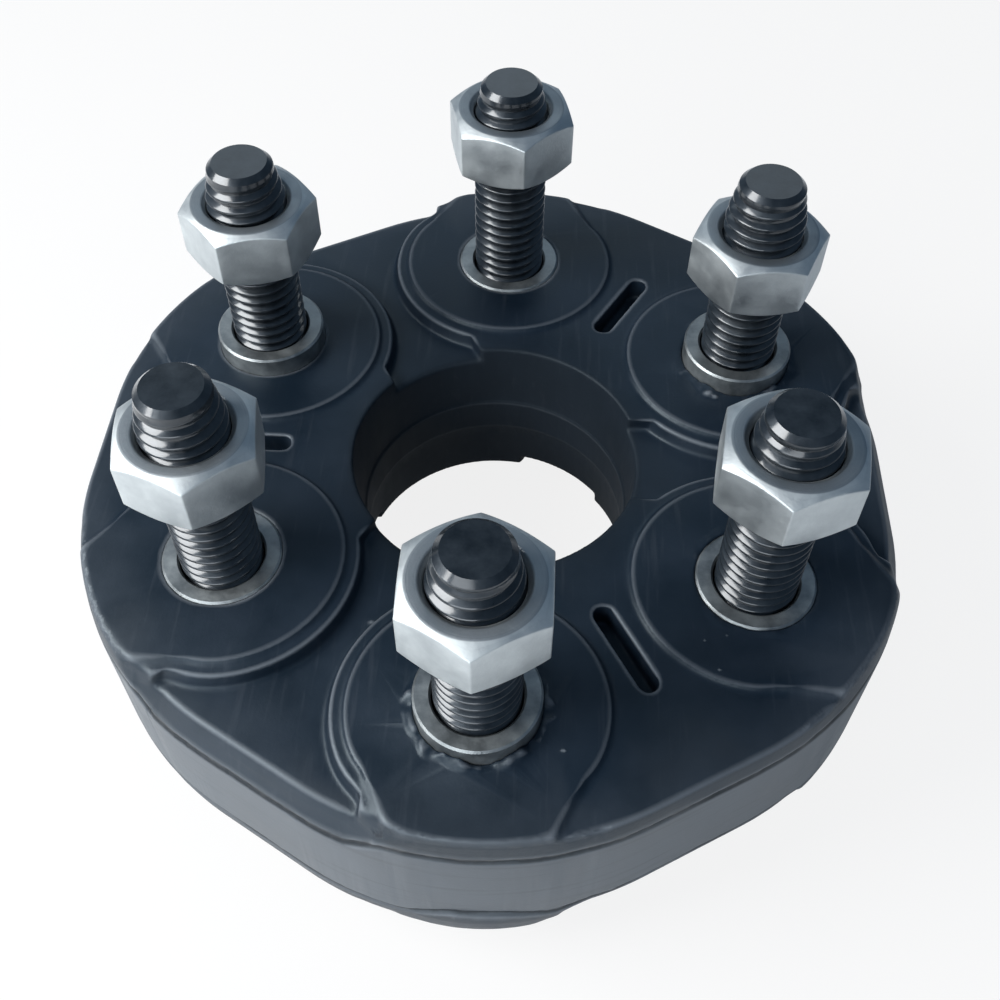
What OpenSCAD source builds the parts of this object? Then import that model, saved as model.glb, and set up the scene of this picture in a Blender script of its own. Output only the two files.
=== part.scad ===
// Driveshaft flex disc: a moulded rubber disc with steel sleeves and wound cord loops bonded in it,
// and the bolts and nuts that clamp it between two flanges. It stands on its bolt heads, with the
// shaft axis along +Z. Hole 1 is at the front (-Y) and the holes are counted counter-clockwise from above.
// All sizes are in millimetres.

/* [Rubber disc] */
// Diameter of the circle that the bolts stand on
bolt_circle_d = 90; // [84:1:110]
// Thickness of the rubber from the upper pads to the lower pads
disc_t = 31; // [27:0.5:40]
// Rubber from the bolt circle out to the middle of a flat side
rim_cover = 18; // [17:0.5:22]
// How far the round corners at the bolts stand out past the flat sides
lobe_out = 2.2; // [0.5:0.1:4]
// Narrowest diameter of the centre bore
bore_d = 42.8; // [34:0.2:45]
// Length of the straight throat in the middle of the bore
throat_len = 6; // [3:0.5:12]
// How much the bore widens from the throat to each face, on the radius
bore_flare = 1.2; // [0:0.1:2]

/* [Rim] */
// Drop from the pads to the parting line at the top of the side wall
shoulder_drop = 4.6; // [3:0.1:6]
// How much higher the parting line sits on the flat sides than at the corners
flat_lift = 0.3; // [0.1:0.1:0.8]
// Lean of the shoulder between the side wall and the face
shoulder_in = 0.5; // [0.4:0.1:2]
// Rounding at the top of the shoulder
crown_r = 0.9; // [0.5:0.1:2]

/* [Pads and pockets] */
// Width of the flat pad ring round each sleeve
pad_land = 9.25; // [6:0.25:10]
// Height of the pads above the face
pad_step = 0.7; // [0.3:0.1:1.5]
// Lean of the pad's edge, in mm per mm of height
pad_draft = 0.43; // [0.1:0.01:0.6]
// Width of the low ring that is left round a pad beside a pocket
ring_w = 2; // [1:0.1:3]
// Depth of a pocket below the pads
pocket_depth = 3; // [1.5:0.1:4]
// Lean of a pocket's side wall, in mm per mm of depth
pocket_draft = 0.3; // [0.1:0.05:0.5]
// Width of a pocket where it opens into the bore
pocket_mouth = 16; // [12:0.5:20]
// Angle by which a pocket's sides spread towards the rim
pocket_spread = 25; // [15:1:28]
// Width of the sloped edge between a pocket's floor and the side wall
bevel_in = 2.5; // [1:0.1:4]
// Drop of that sloped edge down to the parting line
bevel_drop = 4.6; // [2:0.1:6]

/* [Slots] */
// Length of the slot over each cord loop
slot_len = 15.2; // [10:0.2:17]
// Width of the slot
slot_w = 3; // [2:0.1:4]
// Depth of the slot below the face
slot_depth = 4.2; // [2:0.1:4.8]
// How far the slot is set out from the line between its two bolts
slot_shift = 1.1; // [0:0.1:2]

/* [Sleeves] */
// Wall of a sleeve
sleeve_wall = 2.5; // [1.5:0.1:3.5]
// Gap between a bolt and its sleeve, all round
bolt_clear = 0.25; // [0.1:0.05:0.5]
// How far a sleeve stands out of the rubber at its high end
sleeve_high = 3.2; // [1:0.1:4]
// How far a sleeve stands out of the rubber at its low end
sleeve_low = 0.2; // [0.1:0.1:0.8]
// Chamfer at the mouth of a sleeve
mouth_chamfer = 0.3; // [0.1:0.1:0.8]
// Chamfer at the outer edge of a sleeve
edge_chamfer = 0.3; // [0.1:0.1:0.8]

/* [Cord loops] */
// Thickness of a cord loop's winding outside a sleeve
cord_w = 6.5; // [4:0.5:7]
// How far the winding reaches in past the side of the sleeve between two bolts
cord_tuck = 1.25; // [0.5:0.25:2]
// Rubber between a pad's face and the cord loop below it
cord_cover = 6; // [5.8:0.1:8]
// Rubber between the upper and the lower cord loops
cord_gap = 1.5; // [1:0.1:3]

/* [Bolts] */
// Diameter of a bolt's thread
bolt_d = 12; // [10:0.5:14]
// Length of a bolt under its head
bolt_len = 70; // [60:1:90]
// Rise of the thread from one turn to the next
thread_pitch = 1.75; // [1.25:0.25:2]
// Length of the threaded part, up to the end of a bolt
thread_len = 43.5; // [38:0.5:50]
// Length over which the thread thins out towards the end of a bolt
lead_len = 6; // [4:0.5:8]
// Diameter of a bolt where the chamfer at its end starts
lead_d = 9.8; // [9:0.1:10.4]
// Flat face at the end of a bolt, across
tip_d = 8.2; // [6:0.2:8.6]
// Width across the flats of a bolt head
head_af = 18; // [17:0.5:22]
// Height of a bolt head
head_h = 7.5; // [5:0.5:9]

/* [Nuts] */
// Width across the flats of a nut
nut_af = 18.2; // [17:0.1:22]
// Height of a nut
nut_h = 9.6; // [6:0.1:12]
// Gap between a nut and the crest of the bolt's thread, all round
thread_clear = 0.05; // [0.02:0.01:0.2]
// Thread that stands out above each nut, from hole 1 to hole 6
nut_over = [5.7, 5.2, 8.8, 4.3, 6.7, 7.5]; // [3:0.1:12]
// Turn of each nut, from hole 1 to hole 6
nut_turn = [30.1, 22.2, 5.2, 44.3, 13.7, 39.3]; // [0:0.1:60]

/* [Hidden] */
$fn = 96;

// Number of holes and the angle from one to the next
holes = 6;
pitch = 360 / holes;
// Angle of the first hole
first_hole = -90;
// Standard chamfer of hexagon heads and nuts, and its start on each as a share of the width across flats
hex_chamfer = 30;
head_face = 0.95;
nut_face = 0.91;
// Half angle of the thread's groove, and the standard share of the pitch at its root and at its crest
groove_half = 30;
root_share = 1 / 4;
crest_share = 1 / 8;
// Overrun of every cut past the face that it opens
over = 1;

// Sizes in plan
hole_r = bolt_circle_d / 2;
pair_r = hole_r * cos(pitch / 2);
pair_half = hole_r * sin(pitch / 2);
flat_r = hole_r + rim_cover;
corner_r = flat_r + lobe_out;
bore_r = bore_d / 2;
bolt_r = bolt_d / 2;
sleeve_bore_r = bolt_r + bolt_clear;
sleeve_r = sleeve_bore_r + sleeve_wall;
pad_r = sleeve_r + pad_land;
ring_r = pad_r + ring_w;
cord_r = sleeve_r + cord_w;
cord_in = sleeve_r - cord_tuck;

// Heights from the middle of the disc
face_z = disc_t / 2;
land_z = face_z - pad_step;
floor_z = face_z - pocket_depth;
wall_z = face_z - shoulder_drop;
cord_h = face_z - cord_cover - cord_gap / 2;

// Heights from the ground
sleeve_len = disc_t + sleeve_high + sleeve_low;
mid_z = head_h + sleeve_high + face_z;
bolt_end_z = head_h + bolt_len;
thread_z = bolt_end_z - thread_len;
lead_z = bolt_end_z - lead_len;

// Sizes of the bolts in section
tip_r = tip_d / 2;
lead_r = lead_d / 2;
tip_z = bolt_end_z - (lead_r - tip_r);
root_half = thread_pitch * root_share / 2;
crest_half = thread_pitch * crest_share / 2;
thread_depth = (thread_pitch / 2 - crest_half - root_half) / tan(groove_half);
root_r = bolt_r - thread_depth;

// The upper cord loops start at holes 1, 3 and 5, and the lower ones at holes 2, 4 and 6.
// The sleeves at holes 1, 3 and 5 stand high on the upper side.
function hole_angle(k) = first_hole + pitch * k;
function pair_angle(k) = hole_angle(k) + pitch / 2;
function is_upper(k) = k % 2 == 0;

// Edge of the disc in section, at a given radius: up the side wall and over the shoulder to the face
function crown(edge, lift) = [
    [edge, wall_z + lift],
    for (a = [0:30:90])
        [edge - shoulder_in - crown_r * (1 - cos(a)), land_z + lift - crown_r * (1 - sin(a))]
];
function flipped(points) = [for (i = [len(points) - 1:-1:0]) [points[i][0], -points[i][1]]];
function rim_edge(edge, lift) = concat(flipped(crown(edge, lift)), crown(edge, lift));

module at_hole(k, r = hole_r) {
    rotate([0, 0, hole_angle(k)])
        translate([r, 0, 0])
            children();
}

module at_pair(k) {
    rotate([0, 0, pair_angle(k)])
        children();
}

// The disc's outline: turned round, with a flat side between each two bolts
module rim_solid() {
    crown_x = flat_r - shoulder_in - crown_r;
    out_x = corner_r + over;
    out_z = land_z + over;
    difference() {
        rotate_extrude()
            polygon(concat([[0, -land_z]], rim_edge(corner_r, 0), [[0, land_z]]));
        for (k = [0:holes - 1])
            at_pair(k)
                translate([0, flat_r, 0])
                    rotate([90, 0, 0])
                        linear_extrude(2 * flat_r)
                            polygon(concat(
                                [[out_x, out_z], [out_x, -out_z], [crown_x, -out_z]],
                                rim_edge(flat_r, flat_lift),
                                [[crown_x, out_z]]
                            ));
    }
}

// Round pads of one face, with their edges run down into the shoulder of the lobes
module pads() {
    root = pad_step + crown_r;
    for (k = [0:holes - 1])
        at_hole(k)
            translate([0, 0, face_z - root])
                cylinder(h = root, r1 = pad_r + pad_draft * root, r2 = pad_r);
}

// What a pocket leaves standing: a pad and its low ring, widening downwards
module pocket_post() {
    low = floor_z - bevel_drop - over;
    high = face_z + 2 * over;
    translate([0, 0, low])
        cylinder(
            h = high - low,
            r1 = ring_r + pocket_draft * (land_z - low),
            r2 = ring_r + pocket_draft * (land_z - high)
        );
}

// A pocket between two bolts: a channel from the bore that spreads to the rim and ends in a sloped edge
module pocket() {
    in_x = bore_r / 2;
    out_x = corner_r + over;
    half = pocket_mouth / 2;
    out_half = half + (out_x - pair_r) * tan(pocket_spread);
    edge_x = flat_r - bevel_in;
    low_z = floor_z - bevel_drop * (out_x - edge_x) / bevel_in;
    difference() {
        union() {
            translate([0, 0, floor_z])
                linear_extrude(pocket_depth + over)
                    polygon([
                        [in_x, half], [in_x, -half], [pair_r, -half],
                        [out_x, -out_half], [out_x, out_half], [pair_r, half]
                    ]);
            translate([0, out_half, 0])
                rotate([90, 0, 0])
                    linear_extrude(2 * out_half)
                        polygon([
                            [edge_x, floor_z], [out_x, low_z],
                            [out_x, face_z + over], [edge_x, face_z + over]
                        ]);
        }
        for (side = [-1, 1])
            translate([pair_r, side * pair_half, 0])
                pocket_post();
    }
}

// A radial slot with round ends, over the middle of a cord loop
module slot() {
    straight = slot_len - slot_w;
    translate([pair_r + slot_shift, 0, land_z - slot_depth])
        linear_extrude(slot_depth + pad_step + over)
            union() {
                square([straight, slot_w], center = true);
                for (side = [-1, 1])
                    translate([side * straight / 2, 0])
                        circle(d = slot_w);
            }
}

// Cuts of the upper face. The lower face has the same ones, turned by one hole.
module face_cuts() {
    for (k = [0:holes - 1])
        at_pair(k)
            if (is_upper(k))
                slot();
            else
                pocket();
}

module bore_cut() {
    high = face_z + over;
    wide = bore_r + bore_flare * (high - throat_len / 2) / (face_z - throat_len / 2);
    rotate_extrude()
        polygon([
            [0, -high], [wide, -high], [bore_r, -throat_len / 2],
            [bore_r, throat_len / 2], [wide, high], [0, high]
        ]);
}

// Round a cord loop's two sleeves, with a gap between its two runs
module cord_track() {
    difference() {
        union() {
            square([2 * cord_r, 2 * pair_half], center = true);
            for (side = [-1, 1])
                translate([0, side * pair_half])
                    circle(r = cord_r);
        }
        square([2 * cord_in, 2 * pair_half], center = true);
    }
}

// Puts a cord loop's outline at its height: over the middle for the upper ones, under it for the lower ones
module at_cord(k) {
    at_pair(k)
        translate([pair_r, 0, is_upper(k) ? cord_gap / 2 : -cord_gap / 2 - cord_h])
            linear_extrude(cord_h)
                children();
}

module rubber_disc() {
    color([0.13, 0.14, 0.17])
        translate([0, 0, mid_z])
            difference() {
                union() {
                    rim_solid();
                    pads();
                    mirror([0, 0, 1])
                        pads();
                }
                face_cuts();
                rotate([0, 0, pitch])
                    mirror([0, 0, 1])
                        face_cuts();
                bore_cut();
                for (k = [0:holes - 1]) {
                    at_hole(k)
                        cylinder(h = disc_t + 2 * over, r = sleeve_r, center = true);
                    at_cord(k)
                        cord_track();
                }
            }
}

// Turned steel sleeve. The high end is up at holes 1, 3 and 5, and down at the others.
module sleeve(k) {
    low = is_upper(k) ? sleeve_low : sleeve_high;
    color([0.62, 0.62, 0.6])
        at_hole(k)
            translate([0, 0, mid_z - face_z - low])
                rotate_extrude()
                    polygon([
                        [sleeve_bore_r + mouth_chamfer, 0],
                        [sleeve_r - edge_chamfer, 0],
                        [sleeve_r, edge_chamfer],
                        [sleeve_r, sleeve_len - edge_chamfer],
                        [sleeve_r - edge_chamfer, sleeve_len],
                        [sleeve_bore_r + mouth_chamfer, sleeve_len],
                        [sleeve_bore_r, sleeve_len - mouth_chamfer],
                        [sleeve_bore_r, mouth_chamfer]
                    ]);
}

// Cord loop, wound round two sleeves and bonded in the rubber
module cord_loop(k) {
    color([0.86, 0.82, 0.7])
        translate([0, 0, mid_z])
            at_cord(k)
                difference() {
                    cord_track();
                    for (side = [-1, 1])
                        translate([0, side * pair_half])
                            circle(r = sleeve_r);
                }
}

// Hexagon bar with its corners turned off at one end or at both
module hex_block(af, h, face, both) {
    corner_r = af / 2 / cos(30);
    face_r = af / 2 * face;
    drop = (corner_r - face_r) * tan(hex_chamfer);
    intersection() {
        cylinder(h = h, r = corner_r, $fn = 6);
        rotate_extrude()
            polygon([
                [0, 0], [face_r, 0], [corner_r, drop],
                [corner_r, both ? h - drop : h], [both ? face_r : corner_r, h], [0, h]
            ]);
    }
}

// Reach of the thread's crest at a given height: it thins out towards the end of the bolt
function crest_r(z) = min(bolt_r, lead_r + (bolt_r - lead_r) * (tip_z - z) / (tip_z - lead_z));

// The threaded part in section, up to where the crest has thinned down to the root
function thread_edge() = [
    for (i = [0:floor(thread_len / thread_pitch)])
        let (
            z = thread_z + (i + 0.5) * thread_pitch,
            crest = crest_r(z),
            open_half = root_half + (crest - root_r) * tan(groove_half)
        )
            if (crest > root_r + root_half)
                each [[crest, z - open_half], [root_r, z - root_half], [root_r, z + root_half], [crest, z + open_half]]
];

// Bolt with its head on the ground. The thread is turned as rings at its pitch.
module bolt(k) {
    color([0.1, 0.11, 0.12])
        at_hole(k) {
            hex_block(head_af, head_h, head_face, false);
            rotate_extrude()
                polygon(concat(
                    [[0, head_h / 2], [bolt_r, head_h / 2]],
                    thread_edge(),
                    [[lead_r, tip_z], [tip_r, bolt_end_z], [0, bolt_end_z]]
                ));
        }
}

// Plated nut, run down the bolt by hand
module nut(k) {
    hole = bolt_r + thread_clear;
    lead = (nut_af * nut_face / 2 - hole) / 4;
    color([0.76, 0.78, 0.75])
        at_hole(k)
            translate([0, 0, bolt_end_z - nut_over[k] - nut_h])
                rotate([0, 0, nut_turn[k] - hole_angle(k)])
                    difference() {
                        hex_block(nut_af, nut_h, nut_face, true);
                        translate([0, 0, -over])
                            cylinder(h = nut_h + 2 * over, r = hole);
                        for (end = [0, 1])
                            translate([0, 0, end * nut_h])
                                mirror([0, 0, end])
                                    cylinder(h = lead, r1 = hole + lead, r2 = hole);
                    }
}

rubber_disc();
for (k = [0:holes - 1]) {
    sleeve(k);
    bolt(k);
    nut(k);
}
for (n = [1:holes / 2]) {
    cord_loop(2 * n - 2);
    cord_loop(2 * n - 1);
}
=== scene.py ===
import math
import bpy
import numpy as np
from mathutils import Matrix, Vector, noise


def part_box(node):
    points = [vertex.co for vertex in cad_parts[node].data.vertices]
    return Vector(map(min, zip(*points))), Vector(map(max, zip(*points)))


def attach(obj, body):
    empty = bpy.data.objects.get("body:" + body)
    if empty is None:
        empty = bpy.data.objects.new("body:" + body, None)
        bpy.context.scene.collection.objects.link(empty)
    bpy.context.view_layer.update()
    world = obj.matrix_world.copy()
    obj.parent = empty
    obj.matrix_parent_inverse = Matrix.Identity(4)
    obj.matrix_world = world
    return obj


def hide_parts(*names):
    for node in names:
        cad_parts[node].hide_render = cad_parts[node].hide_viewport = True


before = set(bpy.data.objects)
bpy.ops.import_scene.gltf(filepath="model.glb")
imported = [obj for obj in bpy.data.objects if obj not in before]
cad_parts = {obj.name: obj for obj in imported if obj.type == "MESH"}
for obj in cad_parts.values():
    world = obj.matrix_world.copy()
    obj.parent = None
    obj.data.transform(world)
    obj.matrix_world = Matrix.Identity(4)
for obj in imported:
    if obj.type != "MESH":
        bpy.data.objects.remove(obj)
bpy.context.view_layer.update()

MM = 0.001


# The rubber disc: one moulding of black rubber, pressed round the sleeves and the cord loops in a mould of
# two halves and a ring. Its edges come out soft, the side wall is painted lighter as a painted sheen for the
# reflection of the table, and thin flash is left at the parting lines and round some of the sleeves.
WELD = 0.002 * MM
VOXEL = 0.35 * MM
HOLE_R = 45 * MM
SLEEVE_R = 8.75 * MM
FLAT_R = 63 * MM
CORNER_R = 65.2 * MM
MID_Z = 26.2 * MM
FACE = 15.5 * MM
hole_angles = [math.radians(-90 + 60 * k) for k in range(6)]
holes = [Vector((HOLE_R * math.cos(a), HOLE_R * math.sin(a), 0)) for a in hole_angles]


def turned_ring(name, rings):
    """A ring of faces drawn from one circle, extruded through the given radii and heights."""
    bpy.ops.object.select_all(action="DESELECT")
    bpy.ops.mesh.primitive_circle_add(vertices=96, radius=rings[0][0], location=(0, 0, 0))
    piece = bpy.context.object
    piece.name = name
    bpy.ops.object.mode_set(mode="EDIT")
    bpy.ops.mesh.select_all(action="SELECT")
    bpy.ops.transform.translate(value=(0, 0, rings[0][1]))
    for (r0, z0), (r1, z1) in zip(rings, rings[1:]):
        bpy.ops.mesh.extrude_edges_move(TRANSFORM_OT_translate={"value": (0, 0, z1 - z0)})
        bpy.ops.transform.resize(value=(r1 / r0, r1 / r0, 1))
    bpy.ops.mesh.select_all(action="SELECT")
    bpy.ops.mesh.remove_doubles(threshold=WELD)
    bpy.ops.mesh.normals_make_consistent(inside=False)
    bpy.ops.object.mode_set(mode="OBJECT")
    return piece


# The places of the cord loops are closed off by a lining in each hole, so only the outside is remeshed.
LINING_R = SLEEVE_R + 1.6 * MM
LINING_LOW = MID_Z - 12 * MM
LINING_HIGH = MID_Z + 12 * MM
lining = turned_ring(
    "hole_lining",
    [(SLEEVE_R, LINING_LOW), (LINING_R, LINING_LOW), (LINING_R, LINING_HIGH), (SLEEVE_R, LINING_HIGH),
     (SLEEVE_R, LINING_LOW)],
)
bpy.ops.object.select_all(action="DESELECT")
moulding = bpy.data.objects.new("rubber_moulding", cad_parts["rubber_disc"].data.copy())
bpy.context.scene.collection.objects.link(moulding)
moulding.select_set(True)
bpy.context.view_layer.objects.active = moulding
bpy.ops.object.mode_set(mode="EDIT")
bpy.ops.mesh.select_all(action="SELECT")
bpy.ops.mesh.remove_doubles(threshold=WELD)
bpy.ops.object.mode_set(mode="OBJECT")
for hole in holes:
    ring = bpy.data.objects.new("hole_lining", lining.data.copy())
    bpy.context.scene.collection.objects.link(ring)
    ring.data.transform(Matrix.Translation(hole))
    ring.select_set(True)
bpy.data.objects.remove(lining)
bpy.ops.object.join()
moulding.data.remesh_voxel_size = VOXEL
bpy.ops.object.voxel_remesh()


def points_of(mesh):
    co = np.empty(len(mesh.vertices) * 3, np.float32)
    mesh.vertices.foreach_get("co", co)
    return co.reshape(-1, 3).astype(float)


def eased(values, low, high):
    share = np.clip((values - low) / (high - low), 0, 1)
    return share * share * (3 - 2 * share)


def keep_layer(piece, name, values):
    """Keeps a value at every point of a piece, for its finish."""
    layer = piece.data.attributes.new(name, "FLOAT", "POINT")
    layer.data.foreach_set("value", values.astype(np.float32))


# The turned outline of the solid is eased into a rounded hexagon, as the mould has it.
co = points_of(moulding.data)
radius = np.hypot(co[:, 0], co[:, 1])
angle = np.arctan2(co[:, 1], co[:, 0])
off_flat = np.abs((angle + math.pi / 6) % (math.pi / 3) - math.pi / 6)
off_lobe = math.pi / 6 - off_flat
lobe_set = (CORNER_R - FLAT_R) / (1 - math.cos(math.pi / 6))
lobe_r = CORNER_R - lobe_set
turned_edge = np.minimum(CORNER_R, FLAT_R / np.cos(off_flat))
lobe_edge = lobe_set * np.cos(off_lobe) + np.sqrt(lobe_r ** 2 - (lobe_set * np.sin(off_lobe)) ** 2)
straight = np.tan(off_flat) * FLAT_R < lobe_set / 2
eased_edge = np.where(straight, FLAT_R / np.cos(off_flat), lobe_edge)
pull = (eased_edge - turned_edge) * eased(radius, 52 * MM, 62 * MM)
co[:, 0] += pull * np.cos(angle)
co[:, 1] += pull * np.sin(angle)

# The sloped edge of each pocket runs on as a facet into the lobes beside it, and dies out there.
FACET_RUN = 2.5 / 4.6
FACET_AT = 60.5 * MM + 12.5 * MM * FACET_RUN
for k in range(6):
    way = math.radians(60 * k)
    up = 1 if k % 2 == 0 else -1
    height = (co[:, 2] - MID_Z) * up
    along = co[:, 0] * math.cos(way) + co[:, 1] * math.sin(way)
    excess = np.where((height > 6 * MM) & (along > 50 * MM), along + FACET_RUN * height - FACET_AT, 0)
    excess = np.maximum(excess, 0) / (1 + FACET_RUN ** 2)
    co[:, 0] -= excess * math.cos(way)
    co[:, 1] -= excess * math.sin(way)
    co[:, 2] -= excess * FACET_RUN * up

# In front of each sleeve the pad runs on to the rim.
STEP = 0.7 * MM
height = np.abs(co[:, 2] - MID_Z)
for k, hole in enumerate(holes):
    dx = co[:, 0] - hole.x
    dy = co[:, 1] - hole.y
    out = dx * math.cos(hole_angles[k]) + dy * math.sin(hole_angles[k])
    aside = np.abs(dy * math.cos(hole_angles[k]) - dx * math.sin(hole_angles[k]))
    limit = 13.8 * MM - 0.46 * (out - 11.7 * MM)
    inside = 1 - eased(aside, limit - 0.2 * MM, limit + 0.2 * MM)
    inside = inside * (out > 9 * MM) * (np.hypot(dx, dy) > 17 * MM)
    on_face = np.clip((FACE - height) / STEP, 0, 1)
    share = np.where(height > FACE - STEP, on_face, eased(height, FACE - 4 * MM, FACE - STEP))
    co[:, 2] += STEP * inside * share * np.sign(co[:, 2] - MID_Z)
moulding.data.vertices.foreach_set("co", co.astype(np.float32).ravel())
soften = moulding.modifiers.new("soften", "SMOOTH")
soften.factor = 0.5
soften.iterations = 11
bpy.ops.object.modifier_apply(modifier="soften")

# The ends of those facets and the tips of the pockets melt into the lobes.
co = points_of(moulding.data)
run_out = np.zeros(len(co))
for k in range(6):
    way = math.radians(60 * k)
    height = (co[:, 2] - MID_Z) * (1 if k % 2 == 0 else -1)
    along = co[:, 0] * math.cos(way) + co[:, 1] * math.sin(way)
    aside = np.abs(co[:, 1] * math.cos(way) - co[:, 0] * math.sin(way))
    ends = np.exp(-((aside - 19 * MM) / (2.2 * MM)) ** 2)
    ends = ends * eased(along, 57.5 * MM, 60 * MM) * eased(height, 5 * MM, 8 * MM)
    run_out = np.maximum(run_out, ends)
    tips = np.exp(-((aside - 25 * MM) / (3 * MM)) ** 2)
    tips = tips * eased(along, 52 * MM, 55 * MM) * eased(height, 11 * MM, 13 * MM)
    run_out = np.maximum(run_out, tips)
group = moulding.vertex_groups.new(name="run_out")
for i in np.nonzero(run_out > 0.04)[0]:
    group.add([int(i)], float(run_out[i]), "REPLACE")
melt = moulding.modifiers.new("melt", "SMOOTH")
melt.vertex_group = "run_out"
melt.factor = 0.6
melt.iterations = 30
bpy.ops.object.modifier_apply(modifier="melt")
moulding.vertex_groups.clear()


# The two parting lines, where the mould's halves met the ring between them, as heights above the ground. They
# bend towards the middle at the pockets, and at the front the lower one rises over a lip.
LINE_RISE = 10.9 * MM
LINE_BEND = 0.35 * MM


def parting_lines(co):
    radius = np.hypot(co[:, 0], co[:, 1])
    angle = np.arctan2(co[:, 1], co[:, 0])
    heights = []
    for first in (0, math.pi / 3):
        third = 2 * math.pi / 3
        off = np.abs((angle - first + third / 2) % third - third / 2)
        edge = np.where(off < math.pi / 6, FLAT_R / np.cos(off), CORNER_R)
        facet = (FACET_AT - np.minimum(edge, CORNER_R) * np.cos(off)) / FACET_RUN
        heights.append(LINE_RISE - np.log1p(np.exp((LINE_RISE - facet) / LINE_BEND)) * LINE_BEND)
    from_front = np.degrees(angle) + 90
    reach = np.where(from_front < 0, 10.0, 17.0)
    lip = 1 - eased(np.abs(from_front) / reach, 0.1, 1.0)
    upper = MID_Z + heights[0]
    lower = MID_Z - heights[1] + (0.7 + 3.0 * lip) * MM
    return radius, angle, upper, lower, lip


co = points_of(moulding.data)
radius, angle, upper, lower, lip = parting_lines(co)
at_rim = eased(radius, 58 * MM, 61.5 * MM)
uneven = np.sin(angle * 41) * 0.5 + np.sin(angle * 97 + 1.3) * 0.3 + np.sin(angle * 211) * 0.2
groove = (0.34 + 0.12 * uneven) * MM * np.exp(-((co[:, 2] - upper) / (0.5 * MM)) ** 2)
groove += (0.22 + 0.10 * uneven) * MM * np.exp(-((co[:, 2] - lower) / (0.45 * MM)) ** 2)
ledge = 0.4 * MM * lip * eased(lower - co[:, 2], 0.2 * MM, 0.9 * MM)
push = (ledge - groove) * at_rim
throat = eased(co[:, 2], MID_Z - 3.5 * MM, MID_Z - 3 * MM)
throat = throat * (1 - eased(co[:, 2], MID_Z + 3 * MM, MID_Z + 3.5 * MM))
push -= 0.25 * MM * throat * (radius < 24 * MM)
co[:, 0] += push * np.cos(angle)
co[:, 1] += push * np.sin(angle)

# Flash: torn rubber that has crept up round the sleeves at the front and at the right, each with its height
# and how whole it is, and a few crumbs of rubber on the pads, with their places and sizes in millimetres.
pale = np.zeros(len(co))
torn = np.zeros(len(co))
flash_lips = [(1.6 * MM, 0.38), (0.5 * MM, 0.10), (1.7 * MM, 0.22)]
for k, (height, floor) in enumerate(flash_lips):
    dx = co[:, 0] - holes[k].x
    dy = co[:, 1] - holes[k].y
    rho = np.hypot(dx, dy)
    for i in np.nonzero((rho < SLEEVE_R + 3 * MM) & (co[:, 2] > MID_Z + FACE - 1.5 * MM))[0]:
        spot = Vector((dx[i], dy[i], 9 * MM * k))
        tear = floor + 0.9 * noise.noise(spot / (5 * MM)) + 0.5 * noise.noise(spot / (1.6 * MM))
        reach = (1.5 + 1.0 * noise.noise(spot / (3 * MM))) * MM
        near = 1 - min(max((rho[i] - SLEEVE_R) / max(reach, 0.4 * MM), 0.0), 1.0)
        co[i, 2] += height * max(tear, 0.0) * near ** 0.7
        torn[i] = near
crumbs = [(-16.2, -31.2, 0.55), (-16.4, -32.9, 0.35), (31.0, -33.3, 0.3), (34.2, -32.5, 0.28),
          (32.8, -38.0, 0.3), (11.6, -51.2, 0.4), (34.0, 13.6, 0.8), (35.1, 13.0, 0.6)]
for x, y, size in crumbs:
    away = np.hypot(co[:, 0] - x * MM, (co[:, 1] - y * MM) * 1.5)
    lump = np.exp(-(away / (size * MM)) ** 2) * (co[:, 2] > MID_Z + 10 * MM)
    co[:, 2] += 0.5 * size * MM * lump
    pale = np.maximum(pale, 0.5 * lump)
moulding.data.vertices.foreach_set("co", co.astype(np.float32).ravel())
moulding.data.update()

# Edges for a painted highlight and rubbed wear: how far each point stands out of a smoothed copy of the
# surface.
bpy.ops.object.shade_smooth()
normal = np.empty(len(co) * 3, np.float32)
moulding.data.vertex_normals.foreach_get("vector", normal)
normal = normal.reshape(-1, 3)
worn = bpy.data.objects.new("worn", moulding.data.copy())
bpy.context.scene.collection.objects.link(worn)
bpy.context.view_layer.objects.active = worn
rub = worn.modifiers.new("rub", "SMOOTH")
rub.factor = 0.5
rub.iterations = 24
bpy.ops.object.modifier_apply(modifier="rub")
stand_out = ((co - points_of(worn.data)) * normal).sum(axis=1)
bpy.data.objects.remove(worn)
shown = np.maximum(eased(radius, 22 * MM, 27 * MM), (np.abs(co[:, 2] - MID_Z) < 5 * MM))
keep_layer(moulding, "edge", np.clip(stand_out / (0.20 * MM), -1, 1) * (1 - 0.9 * torn) * shown)
keep_layer(moulding, "pale", pale)

# A lighter mesh that keeps the normals of the fine one.
RUBBER_TRIANGLES = 188000
fine = bpy.data.objects.new("fine_moulding", moulding.data.copy())
bpy.context.scene.collection.objects.link(fine)
bpy.context.view_layer.objects.active = moulding
lighten = moulding.modifiers.new("lighten", "DECIMATE")
lighten.ratio = min(1.0, RUBBER_TRIANGLES / (2 * len(moulding.data.polygons)))
bpy.ops.object.modifier_apply(modifier="lighten")
bpy.ops.object.shade_smooth()
shade = moulding.modifiers.new("shade", "DATA_TRANSFER")
shade.object = fine
shade.use_loop_data = True
shade.data_types_loops = {"CUSTOM_NORMAL"}
shade.loop_mapping = "POLYINTERP_NEAREST"
bpy.ops.object.modifier_apply(modifier="shade")
bpy.data.objects.remove(fine)

# Heights over the parting lines in millimetres, and the nearness to the rim and to the bore.
co = points_of(moulding.data)
radius, angle, upper, lower, lip = parting_lines(co)
keep_layer(moulding, "over_line", (co[:, 2] - upper) / MM)
keep_layer(moulding, "under_line", (lower - co[:, 2]) / MM)
keep_layer(moulding, "rim", eased(radius, 58 * MM, 61 * MM))
keep_layer(moulding, "bore", 1 - eased(radius, 22.6 * MM, 24.2 * MM))


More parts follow.
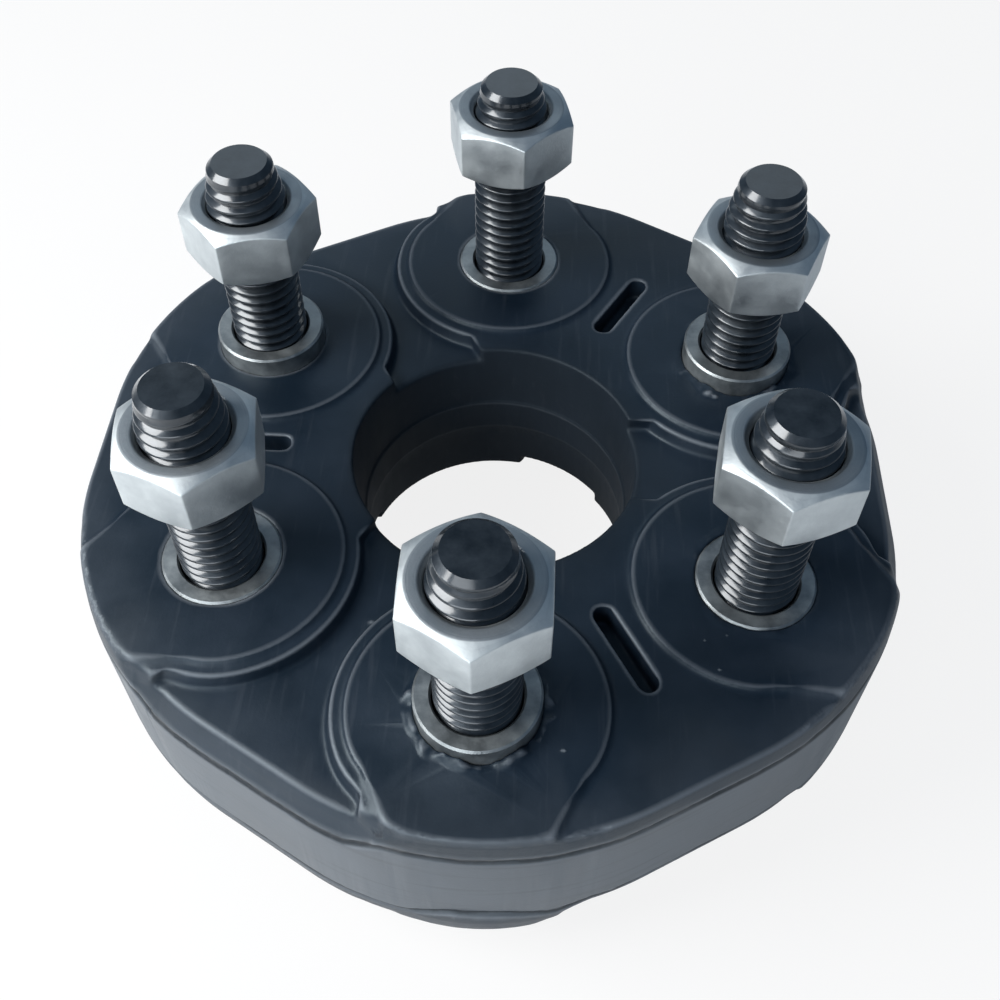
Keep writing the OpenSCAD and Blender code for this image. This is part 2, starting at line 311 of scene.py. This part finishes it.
# Cloudy stain and fine speckle, which every finish of this part has in its own measure.
stain = bpy.data.node_groups.new("stain", "ShaderNodeTree")
stain.interface.new_socket(name="Vector", in_out="INPUT", socket_type="NodeSocketVector")
for label in ("Cloud Scale", "Speck Scale"):
    stain.interface.new_socket(name=label, in_out="INPUT", socket_type="NodeSocketFloat")
for label in ("Cloud", "Speck"):
    stain.interface.new_socket(name=label, in_out="OUTPUT", socket_type="NodeSocketFloat")
g_in = stain.nodes.new("NodeGroupInput")
g_out = stain.nodes.new("NodeGroupOutput")
cloud = stain.nodes.new("ShaderNodeTexNoise")
cloud.inputs["Detail"].default_value = 5
cloud.inputs["Roughness"].default_value = 0.6
speck = stain.nodes.new("ShaderNodeTexNoise")
speck.inputs["Detail"].default_value = 2
stain.links.new(g_in.outputs["Vector"], cloud.inputs["Vector"])
stain.links.new(g_in.outputs["Cloud Scale"], cloud.inputs["Scale"])
stain.links.new(g_in.outputs["Vector"], speck.inputs["Vector"])
stain.links.new(g_in.outputs["Speck Scale"], speck.inputs["Scale"])
stain.links.new(cloud.outputs["Fac"], g_out.inputs["Cloud"])
stain.links.new(speck.outputs["Fac"], g_out.inputs["Speck"])


def new_finish(name, cloud_scale, speck_scale):
    finish = bpy.data.materials.new(name)
    finish.use_nodes = True
    nodes = finish.node_tree.nodes
    place = nodes.new("ShaderNodeTexCoord")
    marks = nodes.new("ShaderNodeGroup")
    marks.node_tree = stain
    marks.inputs["Cloud Scale"].default_value = cloud_scale
    marks.inputs["Speck Scale"].default_value = speck_scale
    finish.node_tree.links.new(place.outputs["Object"], marks.inputs["Vector"])
    return finish, nodes, finish.node_tree.links, nodes["Principled BSDF"], place, marks


def ramp(nodes, links, source, low, high, stops=(0.35, 0.65)):
    node = nodes.new("ShaderNodeValToRGB")
    node.color_ramp.elements[0].position = stops[0]
    node.color_ramp.elements[1].position = stops[1]
    node.color_ramp.elements[0].color = (*low, 1)
    node.color_ramp.elements[1].color = (*high, 1)
    links.new(source, node.inputs["Fac"])
    return node.outputs["Color"]


def span(nodes, links, source, low, high, start=0.3, stop=0.7):
    node = nodes.new("ShaderNodeMapRange")
    node.inputs["From Min"].default_value = start
    node.inputs["From Max"].default_value = stop
    node.inputs["To Min"].default_value = low
    node.inputs["To Max"].default_value = high
    links.new(source, node.inputs["Value"])
    return node.outputs["Result"]


def sums(nodes, links, operation, *terms):
    node = nodes.new("ShaderNodeMath")
    node.operation = operation
    for socket, term in zip(node.inputs, terms):
        if isinstance(term, (int, float)):
            socket.default_value = term
        else:
            links.new(term, socket)
    return node.outputs["Value"]


def over_coat(nodes, links, share, under, tone):
    """One tone laid over another, by a share that changes over the surface."""
    node = nodes.new("ShaderNodeMix")
    node.data_type = "RGBA"
    links.new(share, node.inputs["Factor"])
    links.new(under, node.inputs["A"])
    if isinstance(tone, tuple):
        node.inputs["B"].default_value = (*tone, 1)
    else:
        links.new(tone, node.inputs["B"])
    return node.outputs["Result"]


def own_layer(nodes, name):
    node = nodes.new("ShaderNodeAttribute")
    node.attribute_name = name
    return node.outputs["Fac"]


def bump(nodes, links, height, strength, distance):
    node = nodes.new("ShaderNodeBump")
    node.inputs["Strength"].default_value = strength
    node.inputs["Distance"].default_value = distance
    links.new(height, node.inputs["Height"])
    return node.outputs["Normal"]


def dress(piece, finish):
    piece.data.materials.clear()
    piece.data.materials.append(finish)


rubber, nodes, links, shader, place, marks = new_finish("black_rubber", 70, 2200)
tone = ramp(nodes, links, marks.outputs["Cloud"], (0.004, 0.010, 0.019), (0.010, 0.018, 0.031))
# Painted sheen: the side wall gets a lighter tone that stands in for the table's reflection in it.
painted_wall_sheen = ramp(nodes, links, marks.outputs["Cloud"], (0.082, 0.093, 0.107), (0.118, 0.131, 0.147))
rim = own_layer(nodes, "rim")
waver = span(nodes, links, marks.outputs["Cloud"], -0.4, 0.4)
over = sums(nodes, links, "ADD", own_layer(nodes, "over_line"), waver)
under = sums(nodes, links, "ADD", own_layer(nodes, "under_line"), waver)
painted_sheen_share = sums(
    nodes, links, "MINIMUM",
    span(nodes, links, over, 1.0, 0.14, 0.2, 1.6),
    span(nodes, links, under, 1.0, 0.14, 0.2, 1.6),
)
tone = over_coat(nodes, links, sums(nodes, links, "MULTIPLY", painted_sheen_share, rim), tone, painted_wall_sheen)
# Painted shade: the rubber is darkened along the grooves of the parting lines on the wall.
painted_crease_shade = sums(
    nodes, links, "MAXIMUM",
    span(nodes, links, sums(nodes, links, "ABSOLUTE", over), 0.97, 0.0, 0.35, 0.95),
    span(nodes, links, sums(nodes, links, "ABSOLUTE", under), 0.9, 0.0, 0.1, 0.5),
)
tone = over_coat(nodes, links, sums(nodes, links, "MULTIPLY", painted_crease_shade, rim), tone, (0.006, 0.008, 0.012))
# Painted highlight with some rubbed wear: the edges that stand out are made lighter.
edge_wear_and_highlight = span(nodes, links, own_layer(nodes, "edge"), 0.0, 0.8, 0.18, 0.85)
tone = over_coat(nodes, links, edge_wear_and_highlight, tone, (0.185, 0.205, 0.23))
streaks = nodes.new("ShaderNodeMapping")
streaks.inputs["Scale"].default_value = (900, 70, 300)
links.new(place.outputs["Object"], streaks.inputs["Vector"])
scuff = nodes.new("ShaderNodeTexNoise")
scuff.inputs["Scale"].default_value = 1
scuff.inputs["Detail"].default_value = 3
links.new(streaks.outputs["Vector"], scuff.inputs["Vector"])
scuffed = span(nodes, links, scuff.outputs["Fac"], 0.0, 0.13, 0.58, 0.76)
tone = over_coat(nodes, links, scuffed, tone, (0.10, 0.11, 0.13))
crumbly = span(nodes, links, own_layer(nodes, "pale"), 0.0, 0.9, 0.1, 0.9)
tone = over_coat(nodes, links, crumbly, tone, (0.30, 0.33, 0.36))
# Painted shade: the rubber is darkened towards the bore.
bore = own_layer(nodes, "bore")
tone = over_coat(nodes, links, sums(nodes, links, "MULTIPLY", bore, 0.6), tone, (0.003, 0.006, 0.011))
wipes = nodes.new("ShaderNodeMapping")
wipes.inputs["Scale"].default_value = (55, 55, 1100)
links.new(place.outputs["Object"], wipes.inputs["Vector"])
wiped = nodes.new("ShaderNodeTexNoise")
wiped.inputs["Scale"].default_value = 1
wiped.inputs["Detail"].default_value = 4
links.new(wipes.outputs["Vector"], wiped.inputs["Vector"])
grime = sums(nodes, links, "MULTIPLY", span(nodes, links, wiped.outputs["Fac"], 0.0, 0.35, 0.54, 0.74), rim)
tone = over_coat(nodes, links, grime, tone, (0.040, 0.046, 0.054))
links.new(tone, shader.inputs["Base Color"])
dull = sums(nodes, links, "MULTIPLY_ADD", bore, 0.2, span(nodes, links, marks.outputs["Cloud"], 0.38, 0.52))
links.new(dull, shader.inputs["Roughness"])
shader.inputs["Specular IOR Level"].default_value = 0.47
shader.inputs["Specular Tint"].default_value = (0.80, 0.93, 1.0, 1)
grain = sums(nodes, links, "MULTIPLY_ADD", scuff.outputs["Fac"], 0.5, marks.outputs["Speck"])
links.new(bump(nodes, links, grain, 0.18, 0.09 * MM), shader.inputs["Normal"])
dress(moulding, rubber)
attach(moulding, "root")
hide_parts("rubber_disc")


# The cord loops: many turns of thin cord wound round two sleeves and soaked in rubber before moulding.
# They lie wholly inside the rubber.
cord_finish, nodes, links, shader, place, marks = new_finish("wound_cord", 300, 1500)
strands = nodes.new("ShaderNodeTexWave")
strands.bands_direction = "Z"
strands.inputs["Scale"].default_value = 320
strands.inputs["Distortion"].default_value = 1.5
links.new(place.outputs["Object"], strands.inputs["Vector"])
yarn = ramp(nodes, links, strands.outputs["Fac"], (0.42, 0.37, 0.25), (0.78, 0.72, 0.55))
links.new(yarn, shader.inputs["Base Color"])
shader.inputs["Roughness"].default_value = 0.85
links.new(bump(nodes, links, strands.outputs["Fac"], 0.6, 0.2 * MM), shader.inputs["Normal"])
for half in ("upper", "lower"):
    for k in (1, 2, 3):
        dress(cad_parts["%s_cord_%d" % (half, k)], cord_finish)


# The sleeves: short lengths of turned steel tube, plated, with chamfered mouths. They are bonded into the
# rubber, and every second one stands proud of it on this side.
sleeve_finish, nodes, links, shader, place, marks = new_finish("turned_steel", 220, 2600)
steel = ramp(nodes, links, marks.outputs["Cloud"], (0.20, 0.22, 0.23), (0.40, 0.43, 0.44))
links.new(steel, shader.inputs["Base Color"])
shader.inputs["Metallic"].default_value = 0.85
links.new(span(nodes, links, marks.outputs["Cloud"], 0.34, 0.55), shader.inputs["Roughness"])
links.new(bump(nodes, links, marks.outputs["Speck"], 0.3, 0.08 * MM), shader.inputs["Normal"])
for k in range(1, 7):
    dress(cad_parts["sleeve_%d" % k], sleeve_finish)


# The bolts: hexagon-headed steel bolts with coarse rolled thread, blackened and oiled. They stand on their
# heads, with the thread up through the sleeves and thinning towards its end, where it runs out on a smooth
# chamfered point.
BOLT_R = 6 * MM
PITCH = 1.75 * MM
HEAD_H = 7.5 * MM
HEAD_AF = 18 * MM
HEAD_FACE_R = 0.475 * HEAD_AF
BOLT_END = 77.5 * MM
THREAD_FROM = 34 * MM
LEAD_FROM = 71.5 * MM
CUT_TOL = 1e-7
point = [(THREAD_FROM, BOLT_R), (LEAD_FROM, BOLT_R), (76.7 * MM, 4.9 * MM), (BOLT_END, 4.1 * MM)]
fading = [(LEAD_FROM, 1.0), (75.2 * MM, 0.6), (76.4 * MM, 0.0)]


def hexed(piece, af, face_r, height, limit):
    """Moves the outer rings of a turned piece onto a hexagon, with its corners turned off at 30 degrees."""
    for vertex in piece.data.vertices:
        rho = math.hypot(vertex.co.x, vertex.co.y)
        if rho < limit:
            continue
        turn = math.atan2(vertex.co.y, vertex.co.x)
        side = (turn + math.pi / 6) % (math.pi / 3) - math.pi / 6
        flat = af / 2 / math.cos(math.pi / 6 - abs(side))
        drop = (flat - face_r) * math.tan(math.radians(30))
        vertex.co.x = flat * math.cos(turn)
        vertex.co.y = flat * math.sin(turn)
        if vertex.co.z < height * 0.3:
            vertex.co.z = drop
        elif vertex.co.z < height * 0.97:
            vertex.co.z = height - drop


def soft_edges(piece, width, segments, sharp):
    soft_edge = piece.modifiers.new("soft_edge", "BEVEL")
    soft_edge.width = width
    soft_edge.segments = segments
    soft_edge.limit_method = "ANGLE"
    soft_edge.angle_limit = math.radians(sharp)
    bpy.ops.object.modifier_apply(modifier="soft_edge")


def one_of_six(master, name, k):
    """A copy of the master at each hole but the last, which takes the master itself."""
    if k == 5:
        master.name = "%s_6" % name
        return master
    piece = bpy.data.objects.new("%s_%d" % (name, k + 1), master.data.copy())
    bpy.context.scene.collection.objects.link(piece)
    return piece


corner = HEAD_AF / 2 / math.cos(math.pi / 6)
shank = turned_ring(
    "blackened_bolt",
    [(1 * MM, 0), (HEAD_FACE_R, 0), (corner, 1 * MM), (corner, HEAD_H), (8.4 * MM, HEAD_H), (BOLT_R, HEAD_H),
     (BOLT_R, THREAD_FROM), (5 * MM, THREAD_FROM + 1 * MM)],
)
hexed(shank, HEAD_AF, HEAD_FACE_R, HEAD_H, 8.6 * MM)
bpy.ops.object.mode_set(mode="EDIT")
bpy.ops.mesh.select_all(action="SELECT")
bpy.ops.mesh.fill_holes(sides=0)
bpy.ops.mesh.normals_make_consistent(inside=False)
bpy.ops.object.mode_set(mode="OBJECT")
soft_edges(shank, 0.25 * MM, 2, 25)

# The thread: one groove and crest, open at its ends, wound up the bolt. Its steps along the pitch are shares
# of it, and its radii are in millimetres.
bpy.ops.object.select_all(action="DESELECT")
bpy.ops.mesh.primitive_circle_add(vertices=8, radius=1 * MM, location=(0, 0, 0))
thread = bpy.context.object
outline = [(0, 5.08), (0.11, 5.05), (0.22, 5.08), (0.50, 5.86), (0.565, 5.97), (0.625, 6.0), (0.685, 5.97),
           (0.75, 5.86)]
for vertex, (share, r) in zip(thread.data.vertices, outline):
    vertex.co = (r * MM, 0, THREAD_FROM - PITCH + share * PITCH)
bpy.ops.object.mode_set(mode="EDIT")
bpy.ops.mesh.select_mode(type="EDGE")
bpy.ops.mesh.select_all(action="DESELECT")
bpy.ops.object.mode_set(mode="OBJECT")
for edge in thread.data.edges:
    edge.select = set(edge.vertices) == {0, 7}
bpy.ops.object.mode_set(mode="EDIT")
bpy.ops.mesh.delete(type="EDGE")
bpy.ops.mesh.select_all(action="DESELECT")
bpy.ops.mesh.select_mode(type="VERT")
bpy.ops.object.mode_set(mode="OBJECT")
thread.data.vertices[7].select = True
bpy.ops.object.mode_set(mode="EDIT")
bpy.ops.mesh.extrude_vertices_move()
bpy.ops.object.mode_set(mode="OBJECT")
thread.data.vertices[8].co = (outline[0][1] * MM, 0, THREAD_FROM)
winding = thread.modifiers.new("winding", "SCREW")
winding.axis = "Z"
winding.angle = 2 * math.pi
winding.screw_offset = PITCH
winding.iterations = math.ceil((BOLT_END - THREAD_FROM) / PITCH) + 2
winding.steps = 56
winding.render_steps = 56
winding.use_merge_vertices = True
winding.merge_threshold = WELD
bpy.ops.object.modifier_apply(modifier="winding")
bpy.ops.object.mode_set(mode="EDIT")
bpy.ops.mesh.select_all(action="SELECT")
bpy.ops.mesh.remove_doubles(threshold=WELD)
bpy.ops.mesh.normals_make_consistent(inside=False)
bpy.ops.mesh.select_all(action="SELECT")
bpy.ops.mesh.bisect(plane_co=(0, 0, BOLT_END), plane_no=(0, 0, 1), clear_outer=True, threshold=CUT_TOL)
bpy.ops.mesh.select_all(action="SELECT")
foot = (0, 0, THREAD_FROM + 0.2 * MM)
bpy.ops.mesh.bisect(plane_co=foot, plane_no=(0, 0, -1), clear_outer=True, threshold=CUT_TOL)
for level, _ in point[1:3]:
    bpy.ops.mesh.select_all(action="SELECT")
    bpy.ops.mesh.bisect(plane_co=(0, 0, level), plane_no=(0, 0, 1), threshold=CUT_TOL)
bpy.ops.object.mode_set(mode="OBJECT")

# Towards its end the thread narrows with the bolt's point, and its groove fades.
levels, reaches = zip(*point)
groove_levels, groove_shares = zip(*fading)
for vertex in thread.data.vertices:
    rho = math.hypot(vertex.co.x, vertex.co.y)
    reach = float(np.interp(vertex.co.z, levels, reaches))
    depth = (BOLT_R - rho) * float(np.interp(vertex.co.z, groove_levels, groove_shares))
    vertex.co.x *= (reach - depth) / rho
    vertex.co.y *= (reach - depth) / rho
bpy.ops.object.mode_set(mode="EDIT")
bpy.ops.mesh.select_all(action="SELECT")
bpy.ops.mesh.fill_holes(sides=0)
bpy.ops.mesh.select_all(action="SELECT")
bpy.ops.mesh.normals_make_consistent(inside=False)
bpy.ops.object.mode_set(mode="OBJECT")
shank.select_set(True)
bpy.context.view_layer.objects.active = shank
bpy.ops.object.join()
bpy.ops.object.shade_smooth_by_angle(angle=math.radians(32))

bolt_finish, nodes, links, shader, place, marks = new_finish("black_oxide", 260, 3000)
oxide = ramp(nodes, links, marks.outputs["Cloud"], (0.012, 0.017, 0.023), (0.036, 0.045, 0.055))
links.new(oxide, shader.inputs["Base Color"])
shader.inputs["Metallic"].default_value = 0.6
links.new(span(nodes, links, marks.outputs["Cloud"], 0.26, 0.44), shader.inputs["Roughness"])
shader.inputs["Coat Weight"].default_value = 1.0
shader.inputs["Coat Roughness"].default_value = 0.13
links.new(bump(nodes, links, marks.outputs["Speck"], 0.25, 0.05 * MM), shader.inputs["Normal"])
dress(shank, bolt_finish)
for k, hole in enumerate(holes):
    bolt = one_of_six(shank, "blackened_bolt", k)
    bolt.data.transform(Matrix.Translation(hole) @ Matrix.Rotation(hole_angles[k], 4, "Z"))
    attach(bolt, "root")
    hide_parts("bolt_%d" % (k + 1))


# The nuts: hexagon nuts of zinc-plated steel, their corners turned off at both ends, spun part of the way
# down the thread by hand, so each stands at its own height and turn.
NUT_AF = 18.2 * MM
NUT_H = 9.6 * MM
NUT_FACE_R = 0.455 * NUT_AF
NUT_HOLE = 6.05 * MM
nut_turns = [30.1, 22.2, 5.2, 44.3, 13.7, 39.3]
corner = NUT_AF / 2 / math.cos(math.pi / 6)
lead = 0.7 * MM
master = turned_ring(
    "zinc_nut",
    [(NUT_HOLE, lead), (NUT_HOLE + lead, 0), (NUT_FACE_R, 0), (corner, 1 * MM), (corner, NUT_H - 1 * MM),
     (NUT_FACE_R, NUT_H), (NUT_HOLE + lead, NUT_H), (NUT_HOLE, NUT_H - lead), (NUT_HOLE, lead)],
)
hexed(master, NUT_AF, NUT_FACE_R, NUT_H, 9 * MM)
bpy.ops.object.mode_set(mode="EDIT")
bpy.ops.mesh.select_all(action="SELECT")
bpy.ops.mesh.normals_make_consistent(inside=False)
bpy.ops.object.mode_set(mode="OBJECT")
soft_edges(master, 0.2 * MM, 3, 22)
bpy.ops.object.shade_smooth_by_angle(angle=math.radians(35))

# The end faces, and the radius in millimetres of the turning marks on them.
co = points_of(master.data)
radius = np.hypot(co[:, 0], co[:, 1])
end_face = (co[:, 2] < 0.3 * MM) | (co[:, 2] > NUT_H - 0.3 * MM)
keep_layer(master, "end_face", end_face & (radius < NUT_FACE_R + 0.1 * MM))
keep_layer(master, "turning", np.where(end_face, radius / MM, NUT_FACE_R / MM))

nut_finish, nodes, links, shader, place, marks = new_finish("zinc_plate", 160, 2200)
rings = nodes.new("ShaderNodeTexNoise")
rings.noise_dimensions = "1D"
rings.inputs["Scale"].default_value = 9
rings.inputs["Detail"].default_value = 3
links.new(own_layer(nodes, "turning"), rings.inputs["W"])
plate = ramp(nodes, links, marks.outputs["Cloud"], (0.51, 0.55, 0.57), (0.68, 0.72, 0.73))
ringed = span(nodes, links, rings.outputs["Fac"], 0.0, 0.3, 0.45, 0.75)
plate = over_coat(nodes, links, ringed, plate, (0.40, 0.43, 0.45))
# Painted shade: the nut's end faces are darkened in patches.
patchy = span(nodes, links, marks.outputs["Cloud"], 0.45, 0.8)
painted_end_face_shade = sums(nodes, links, "MULTIPLY", own_layer(nodes, "end_face"), patchy)
plate = over_coat(nodes, links, painted_end_face_shade, plate, (0.22, 0.25, 0.28))
links.new(plate, shader.inputs["Base Color"])
shader.inputs["Metallic"].default_value = 1.0
links.new(span(nodes, links, marks.outputs["Cloud"], 0.43, 0.61), shader.inputs["Roughness"])
relief = sums(nodes, links, "MULTIPLY_ADD", rings.outputs["Fac"], 0.8, marks.outputs["Speck"])
links.new(bump(nodes, links, relief, 0.35, 0.07 * MM), shader.inputs["Normal"])
dress(master, nut_finish)
for k, hole in enumerate(holes):
    nut = one_of_six(master, "zinc_nut", k)
    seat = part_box("nut_%d" % (k + 1))[0].z
    turn = Matrix.Rotation(math.radians(nut_turns[k]), 4, "Z")
    nut.data.transform(Matrix.Translation((hole.x, hole.y, seat)) @ turn)
    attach(nut, "root")
    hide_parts("nut_%d" % (k + 1))


# The setting: a plain white table, soft window light from the left, the front and the back, a dim blue room,
# and the camera where the photograph was taken from, set out from the mean height of the sleeves' tops.
MEAN_TOP = 43.4 * MM
bpy.ops.object.select_all(action="DESELECT")
bpy.ops.mesh.primitive_plane_add(size=6, location=(0, 0, 0))
table = bpy.context.object
table.name = "table"
table_top = bpy.data.materials.new("white_table")
table_top.use_nodes = True
nodes = table_top.node_tree.nodes
links = table_top.node_tree.links
shader = nodes["Principled BSDF"]
shader.inputs["Base Color"].default_value = (0.86, 0.86, 0.86, 1)
shader.inputs["Roughness"].default_value = 0.9
shader.inputs["Specular IOR Level"].default_value = 0.1
glow = nodes.new("ShaderNodeEmission")
glow.inputs["Strength"].default_value = 1.0
path = nodes.new("ShaderNodeLightPath")
mirrored = sums(nodes, links, "MAXIMUM", path.outputs["Is Glossy Ray"], path.outputs["Is Transmission Ray"])
seen = sums(nodes, links, "MULTIPLY", path.outputs["Is Camera Ray"], 0.85)
seen = sums(nodes, links, "MULTIPLY_ADD", mirrored, 0.2, seen)
mixed = nodes.new("ShaderNodeMixShader")
links.new(seen, mixed.inputs["Fac"])
links.new(shader.outputs["BSDF"], mixed.inputs[1])
links.new(glow.outputs["Emission"], mixed.inputs[2])
links.new(mixed.outputs["Shader"], nodes["Material Output"].inputs["Surface"])
table.data.materials.append(table_top)

world = bpy.data.worlds.new("room")
bpy.context.scene.world = world
world.use_nodes = True
nodes = world.node_tree.nodes
links = world.node_tree.links
room = nodes["Background"]
room.inputs["Color"].default_value = (0.41, 0.67, 1.0, 1)
room.inputs["Strength"].default_value = 0.18
white = nodes.new("ShaderNodeBackground")
white.inputs["Strength"].default_value = 1.0
path = nodes.new("ShaderNodeLightPath")
mixed = nodes.new("ShaderNodeMixShader")
links.new(path.outputs["Is Camera Ray"], mixed.inputs["Fac"])
links.new(room.outputs["Background"], mixed.inputs[1])
links.new(white.outputs["Background"], mixed.inputs[2])
links.new(mixed.outputs["Shader"], nodes["World Output"].inputs["Surface"])


def window(name, place, aim, size, power, tint):
    lamp = bpy.data.lights.new(name, "AREA")
    lamp.shape = "RECTANGLE"
    lamp.size, lamp.size_y = size
    lamp.energy = power
    lamp.color = tint
    holder = bpy.data.objects.new(name, lamp)
    bpy.context.scene.collection.objects.link(holder)
    way = Vector(aim) - Vector(place)
    holder.matrix_world = Matrix.Translation(place) @ way.to_track_quat("-Z", "Y").to_matrix().to_4x4()


window("window_left", (-0.35, -0.094, 0.336), (0, 0, 0.04), (0.30, 0.24), 2.6, (1.0, 0.99, 0.97))
window("window_front", (-0.21, -0.52, 0.26), (0, 0, 0.04), (0.5, 0.3), 1.9, (0.95, 0.98, 1.0))
window("window_back", (-0.12, 0.75, 0.55), (0, 0, 0.04), (0.8, 0.4), 0.7, (0.85, 0.95, 1.0))

camera_data = bpy.data.cameras.new("photo_camera")
camera_data.sensor_width = 36
camera_data.lens = 43.06
camera_data.clip_start = 0.01
camera = bpy.data.objects.new("photo_camera", camera_data)
bpy.context.scene.collection.objects.link(camera)
turned = Matrix.Rotation(math.radians(2.44), 4, "Z")
eye = turned @ Vector((0.017 * HOLE_R, -2.709 * HOLE_R, MEAN_TOP + 3.154 * HOLE_R))
aim = turned @ Vector((0.0171 * HOLE_R, -0.2561 * HOLE_R, MEAN_TOP))
gaze = (aim - eye).to_track_quat("-Z", "Y").to_matrix().to_4x4()
camera.matrix_world = Matrix.Translation(eye) @ gaze @ Matrix.Rotation(math.radians(0.62), 4, "Z")
bpy.context.scene.camera = camera
bpy.context.scene.view_settings.view_transform = "Standard"
